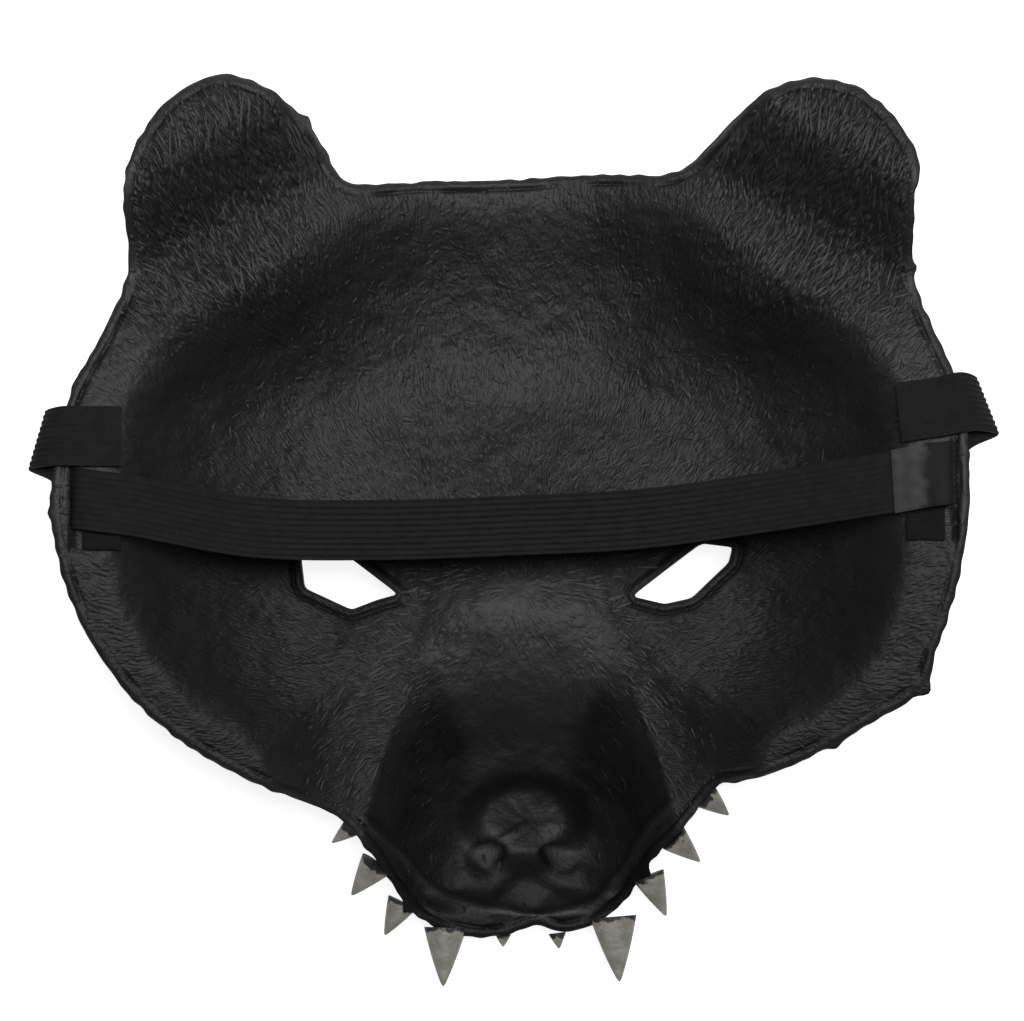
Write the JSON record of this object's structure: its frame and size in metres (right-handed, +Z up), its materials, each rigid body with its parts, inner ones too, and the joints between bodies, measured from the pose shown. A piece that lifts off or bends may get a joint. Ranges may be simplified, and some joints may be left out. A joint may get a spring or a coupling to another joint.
{
  "type": "bear mask",
  "caption": "Moulded half-face bear mask lying face-down, its hollow back up, with round ears, eye holes, an open muzzle edged with teeth and an elastic head strap.",
  "frame": {"origin": "middle of the bounding box at the surface the mask lies on, under the brow", "axes": "+Z up, out of the mask's open back; +Y towards the ears; +X to the right as seen from above, looking into the back"},
  "size_m": [0.2387, 0.232, 0.0573],
  "materials": {
    "foam": "matte moulded skin with fur texture",
    "elastic": "ribbed knit elastic",
    "tape": "shiny adhesive tape",
    "tooth": "matte, dulled paint"
  },
  "bodies": {
    "root": {"shell": "foam", "head_strap": "elastic", "slot_patch_left": "elastic", "slot_patch_right": "elastic", "strap_tape": "tape", "tooth_left_back": "tooth", "tooth_left_mid": "tooth", "tooth_left_side": "tooth", "canine_left": "tooth", "incisor_left": "tooth", "incisor_right": "tooth", "canine_right": "tooth", "tooth_right_side": "tooth", "tooth_right_mid": "tooth", "tooth_right_back": "tooth"}
  },
  "joints": []
}
